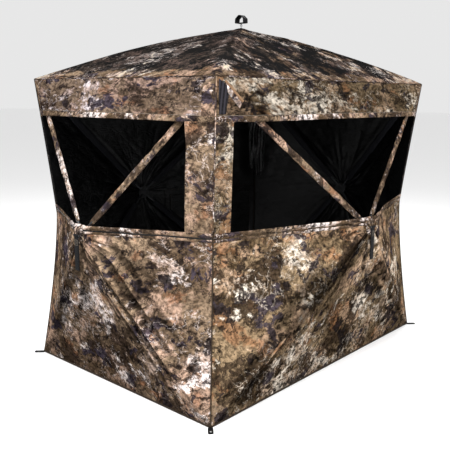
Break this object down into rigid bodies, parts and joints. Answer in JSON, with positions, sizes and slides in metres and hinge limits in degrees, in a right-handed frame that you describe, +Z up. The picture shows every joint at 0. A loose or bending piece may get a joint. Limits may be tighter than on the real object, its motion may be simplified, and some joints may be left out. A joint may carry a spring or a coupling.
{
  "type": "pop up ground blind",
  "caption": "Pop up hunting hide: camouflage cloth walls and roof popped out by bowed poles hinged at central hubs, corner windows, zip door, pull straps, stake tabs.",
  "frame": {"origin": "centre of the footprint, on the ground", "axes": "+Z up, front window wall faces -Y, left window wall faces -X"},
  "size_m": [2.2806, 1.7606, 1.8664],
  "materials": {
    "camo_cloth": "matte printed polyester, black inside",
    "corner_trim": "dark coated reinforcement cloth",
    "black_webbing": "woven webbing",
    "moulded_nylon": "moulded, satin",
    "steel_pins": "plain",
    "blackened_metal": "blackened",
    "fibreglass": "satin pultruded rod"
  },
  "bodies": {
    "shell": {"roof_panel": "camo_cloth", "front_top_band": "camo_cloth", "front_lower_panel": "camo_cloth", "left_top_band": "camo_cloth", "left_lower_panel": "camo_cloth", "near_corner_post": "camo_cloth", "right_wall_panel": "camo_cloth", "rear_wall_panel": "camo_cloth", "top_corner_patches": "corner_trim", "bottom_corner_boots": "corner_trim", "stake_tabs": "black_webbing", "stake_grommets": "blackened_metal"},
    "front_hub_unit": {"front_hub": "moulded_nylon", "front_hub_cap": "moulded_nylon", "front_hub_pins": "steel_pins"},
    "front_pole_upper_left_body": {"front_pole_upper_left": "fibreglass", "front_sleeve_upper_left": "camo_cloth"},
    "front_pole_upper_right_body": {"front_pole_upper_right": "fibreglass", "front_sleeve_upper_right": "camo_cloth"},
    "front_pole_lower_right_body": {"front_pole_lower_right": "fibreglass"},
    "front_pole_lower_left_body": {"front_pole_lower_left": "fibreglass"},
    "front_pull_unit": {"front_pull_strap": "black_webbing"},
    "left_hub_unit": {"left_hub": "moulded_nylon", "left_hub_cap": "moulded_nylon", "left_hub_pins": "steel_pins"},
    "left_pole_upper_left_body": {"left_pole_upper_left": "fibreglass", "left_sleeve_upper_left": "camo_cloth"},
    "left_pole_upper_right_body": {"left_pole_upper_right": "fibreglass", "left_sleeve_upper_right": "camo_cloth"},
    "left_pole_lower_right_body": {"left_pole_lower_right": "fibreglass"},
    "left_pole_lower_left_body": {"left_pole_lower_left": "fibreglass"},
    "left_pull_unit": {"left_pull_strap": "black_webbing"},
    "right_hub_unit": {"right_hub": "moulded_nylon", "right_hub_cap": "moulded_nylon", "right_hub_pins": "steel_pins"},
    "right_pole_upper_left_body": {"right_pole_upper_left": "fibreglass"},
    "right_pole_upper_right_body": {"right_pole_upper_right": "fibreglass"},
    "right_pole_lower_right_body": {"right_pole_lower_right": "fibreglass"},
    "right_pole_lower_left_body": {"right_pole_lower_left": "fibreglass"},
    "right_pull_unit": {"right_pull_strap": "black_webbing"},
    "rear_hub_unit": {"rear_hub": "moulded_nylon", "rear_hub_cap": "moulded_nylon", "rear_hub_pins": "steel_pins"},
    "rear_pole_upper_left_body": {"rear_pole_upper_left": "fibreglass"},
    "rear_pole_upper_right_body": {"rear_pole_upper_right": "fibreglass"},
    "rear_pole_lower_right_body": {"rear_pole_lower_right": "fibreglass"},
    "rear_pole_lower_left_body": {"rear_pole_lower_left": "fibreglass"},
    "rear_pull_unit": {"rear_pull_strap": "black_webbing"},
    "roof_hub_unit": {"roof_hub": "moulded_nylon", "roof_hub_cap": "moulded_nylon", "roof_hub_pins": "steel_pins", "roof_eyelet": "steel_pins"},
    "roof_pole_upper_left_body": {"roof_pole_upper_left": "fibreglass"},
    "roof_pole_upper_right_body": {"roof_pole_upper_right": "fibreglass"},
    "roof_pole_lower_right_body": {"roof_pole_lower_right": "fibreglass"},
    "roof_pole_lower_left_body": {"roof_pole_lower_left": "fibreglass"},
    "roof_pull_unit": {"roof_pull_strap": "black_webbing"},
    "door_zip_frame": {"door_zip_tape": "black_webbing"},
    "door": {"door_panel": "camo_cloth"},
    "zip_slider": {"door_zip_slider": "blackened_metal"}
  },
  "joints": [
    {"name": "front_pop", "type": "slide", "parent": "shell", "child": "front_hub_unit", "axis": [0, 1, 0], "range_m": [0, 0.411], "deforming": ["front_top_band", "front_lower_panel", "near_corner_post"]},
    {"name": "front_pole_upper_left_hinge", "type": "hinge", "parent": "front_hub_unit", "child": "front_pole_upper_left_body", "pos_m": [-0.02364, -0.837, 0.81847], "axis": [0.6156, 0, 0.7881], "range_deg": [-0.5, 22.04]},
    {"name": "front_pole_upper_right_hinge", "type": "hinge", "parent": "front_hub_unit", "child": "front_pole_upper_right_body", "pos_m": [0.02364, -0.837, 0.81847], "axis": [0.6156, 0, -0.7881], "range_deg": [-0.5, 22.04]},
    {"name": "front_pole_lower_right_hinge", "type": "hinge", "parent": "front_hub_unit", "child": "front_pole_lower_right_body", "pos_m": [0.02267, -0.837, 0.78034], "axis": [-0.6552, 0, -0.7555], "range_deg": [-0.5, 20.64]},
    {"name": "front_pole_lower_left_hinge", "type": "hinge", "parent": "front_hub_unit", "child": "front_pole_lower_left_body", "pos_m": [-0.02267, -0.837, 0.78034], "axis": [-0.6552, 0, 0.7555], "range_deg": [-0.5, 20.64]},
    {"name": "front_pull_swing", "type": "hinge", "parent": "front_hub_unit", "child": "front_pull_unit", "pos_m": [0, -0.8745, 0.8], "axis": [-1, 0, 0], "range_deg": [-3, 160]},
    {"name": "left_pop", "type": "slide", "parent": "shell", "child": "left_hub_unit", "axis": [1, 0, 0], "range_m": [0, 0.393], "deforming": ["left_top_band", "left_lower_panel", "bottom_corner_boots"]},
    {"name": "left_pole_upper_left_hinge", "type": "hinge", "parent": "left_hub_unit", "child": "left_pole_upper_left_body", "pos_m": [-1.097, 0.02029, 0.8221], "axis": [0, -0.7365, 0.6764], "range_deg": [-0.5, 25.26]},
    {"name": "left_pole_upper_right_hinge", "type": "hinge", "parent": "left_hub_unit", "child": "left_pole_upper_right_body", "pos_m": [-1.097, -0.02029, 0.8221], "axis": [0, -0.7365, -0.6764], "range_deg": [-0.5, 25.26]},
    {"name": "left_pole_lower_right_hinge", "type": "hinge", "parent": "left_hub_unit", "child": "left_pole_lower_right_body", "pos_m": [-1.097, -0.01878, 0.77661], "axis": [0, 0.7797, -0.6262], "range_deg": [-0.5, 23.64]},
    {"name": "left_pole_lower_left_hinge", "type": "hinge", "parent": "left_hub_unit", "child": "left_pole_lower_left_body", "pos_m": [-1.097, 0.01878, 0.77661], "axis": [0, 0.7797, 0.6262], "range_deg": [-0.5, 23.64]},
    {"name": "left_pull_swing", "type": "hinge", "parent": "left_hub_unit", "child": "left_pull_unit", "pos_m": [-1.1345, 0, 0.8], "axis": [0, 1, 0], "range_deg": [-3, 160]},
    {"name": "right_pop", "type": "slide", "parent": "shell", "child": "right_hub_unit", "axis": [-1, 0, 0], "range_m": [0, 0.393], "deforming": ["right_wall_panel"]},
    {"name": "right_pole_upper_left_hinge", "type": "hinge", "parent": "right_hub_unit", "child": "right_pole_upper_left_body", "pos_m": [1.097, -0.02029, 0.8221], "axis": [0, 0.7365, 0.6764], "range_deg": [-0.5, 25.26]},
    {"name": "right_pole_upper_right_hinge", "type": "hinge", "parent": "right_hub_unit", "child": "right_pole_upper_right_body", "pos_m": [1.097, 0.02029, 0.8221], "axis": [0, 0.7365, -0.6764], "range_deg": [-0.5, 25.26]},
    {"name": "right_pole_lower_right_hinge", "type": "hinge", "parent": "right_hub_unit", "child": "right_pole_lower_right_body", "pos_m": [1.097, 0.01878, 0.77661], "axis": [0, -0.7797, -0.6262], "range_deg": [-0.5, 23.64]},
    {"name": "right_pole_lower_left_hinge", "type": "hinge", "parent": "right_hub_unit", "child": "right_pole_lower_left_body", "pos_m": [1.097, -0.01878, 0.77661], "axis": [0, -0.7797, 0.6262], "range_deg": [-0.5, 23.64]},
    {"name": "right_pull_swing", "type": "hinge", "parent": "right_hub_unit", "child": "right_pull_unit", "pos_m": [1.1345, 0, 0.8], "axis": [0, -1, 0], "range_deg": [-3, 160]},
    {"name": "rear_pop", "type": "slide", "parent": "shell", "child": "rear_hub_unit", "axis": [0, -1, 0], "range_m": [0, 0.411], "deforming": ["rear_wall_panel"]},
    {"name": "rear_pole_upper_left_hinge", "type": "hinge", "parent": "rear_hub_unit", "child": "rear_pole_upper_left_body", "pos_m": [0.02364, 0.837, 0.81847], "axis": [-0.6156, 0, 0.7881], "range_deg": [-0.5, 22.04]},
    {"name": "rear_pole_upper_right_hinge", "type": "hinge", "parent": "rear_hub_unit", "child": "rear_pole_upper_right_body", "pos_m": [-0.02364, 0.837, 0.81847], "axis": [-0.6156, 0, -0.7881], "range_deg": [-0.5, 22.04]},
    {"name": "rear_pole_lower_right_hinge", "type": "hinge", "parent": "rear_hub_unit", "child": "rear_pole_lower_right_body", "pos_m": [-0.02267, 0.837, 0.78034], "axis": [0.6552, 0, -0.7555], "range_deg": [-0.5, 20.64]},
    {"name": "rear_pole_lower_left_hinge", "type": "hinge", "parent": "rear_hub_unit", "child": "rear_pole_lower_left_body", "pos_m": [0.02267, 0.837, 0.78034], "axis": [0.6552, 0, 0.7555], "range_deg": [-0.5, 20.64]},
    {"name": "rear_pull_swing", "type": "hinge", "parent": "rear_hub_unit", "child": "rear_pull_unit", "pos_m": [0, 0.8745, 0.8], "axis": [1, 0, 0], "range_deg": [-3, 160]},
    {"name": "roof_pop", "type": "slide", "parent": "shell", "child": "roof_hub_unit", "axis": [0, 0, -1], "range_m": [0, 0.537], "deforming": ["roof_panel", "top_corner_patches"]},
    {"name": "roof_pole_upper_left_hinge", "type": "hinge", "parent": "roof_hub_unit", "child": "roof_pole_upper_left_body", "pos_m": [-0.02437, 0.0175, 1.767], "axis": [0.5834, 0.8122, 0], "range_deg": [-0.5, 29.18]},
    {"name": "roof_pole_upper_right_hinge", "type": "hinge", "parent": "roof_hub_unit", "child": "roof_pole_upper_right_body", "pos_m": [0.02437, 0.0175, 1.767], "axis": [0.5834, -0.8122, 0], "range_deg": [-0.5, 29.18]},
    {"name": "roof_pole_lower_right_hinge", "type": "hinge", "parent": "roof_hub_unit", "child": "roof_pole_lower_right_body", "pos_m": [0.02437, -0.0175, 1.767], "axis": [-0.5834, -0.8122, 0], "range_deg": [-0.5, 29.18]},
    {"name": "roof_pole_lower_left_hinge", "type": "hinge", "parent": "roof_hub_unit", "child": "roof_pole_lower_left_body", "pos_m": [-0.02437, -0.0175, 1.767], "axis": [-0.5834, 0.8122, 0], "range_deg": [-0.5, 29.18]},
    {"name": "roof_pull_tilt", "type": "hinge", "parent": "roof_hub_unit", "child": "roof_pull_unit", "pos_m": [0, 0, 1.8165], "axis": [0, 1, 0], "range_deg": [-30, 30]},
    {"name": "door_frame_follow", "type": "hinge", "parent": "shell", "child": "door_zip_frame", "pos_m": [0.81031, 0.59569, 0.75643], "axis": [0.0986, 0.0811, -0.9918], "range_deg": [-28.94, 0.5]},
    {"name": "door_swing", "type": "hinge", "parent": "door_zip_frame", "child": "door", "pos_m": [0.81031, 0.59569, 0.75643], "axis": [0.0986, 0.0811, -0.9918], "range_deg": [0, 110]},
    {"name": "zip_slide", "type": "slide", "parent": "door_zip_frame", "child": "zip_slider", "axis": [0.7435, -0.1773, -0.6448], "range_m": [0, 0.817]}
  ],
  "couplings": [
    {"joint": "front_pole_upper_left_hinge", "follows": "front_pop", "rad_per_m": 0.91472},
    {"joint": "front_pole_upper_right_hinge", "follows": "front_pop", "rad_per_m": 0.91472},
    {"joint": "front_pole_lower_right_hinge", "follows": "front_pop", "rad_per_m": 0.85529},
    {"joint": "front_pole_lower_left_hinge", "follows": "front_pop", "rad_per_m": 0.85529},
    {"joint": "left_pole_upper_left_hinge", "follows": "left_pop", "rad_per_m": 1.0998},
    {"joint": "left_pole_upper_right_hinge", "follows": "left_pop", "rad_per_m": 1.0998},
    {"joint": "left_pole_lower_right_hinge", "follows": "left_pop", "rad_per_m": 1.0276},
    {"joint": "left_pole_lower_left_hinge", "follows": "left_pop", "rad_per_m": 1.0276},
    {"joint": "right_pole_upper_left_hinge", "follows": "right_pop", "rad_per_m": 1.0998},
    {"joint": "right_pole_upper_right_hinge", "follows": "right_pop", "rad_per_m": 1.0998},
    {"joint": "right_pole_lower_right_hinge", "follows": "right_pop", "rad_per_m": 1.0276},
    {"joint": "right_pole_lower_left_hinge", "follows": "right_pop", "rad_per_m": 1.0276},
    {"joint": "rear_pole_upper_left_hinge", "follows": "rear_pop", "rad_per_m": 0.91472},
    {"joint": "rear_pole_upper_right_hinge", "follows": "rear_pop", "rad_per_m": 0.91472},
    {"joint": "rear_pole_lower_right_hinge", "follows": "rear_pop", "rad_per_m": 0.85529},
    {"joint": "rear_pole_lower_left_hinge", "follows": "rear_pop", "rad_per_m": 0.85529},
    {"joint": "roof_pole_upper_left_hinge", "follows": "roof_pop", "rad_per_m": 0.93209},
    {"joint": "roof_pole_upper_right_hinge", "follows": "roof_pop", "rad_per_m": 0.93209},
    {"joint": "roof_pole_lower_right_hinge", "follows": "roof_pop", "rad_per_m": 0.93209},
    {"joint": "roof_pole_lower_left_hinge", "follows": "roof_pop", "rad_per_m": 0.93209},
    {"joint": "door_frame_follow", "follows": "rear_pop", "rad_per_m": -1.2076}
  ]
}
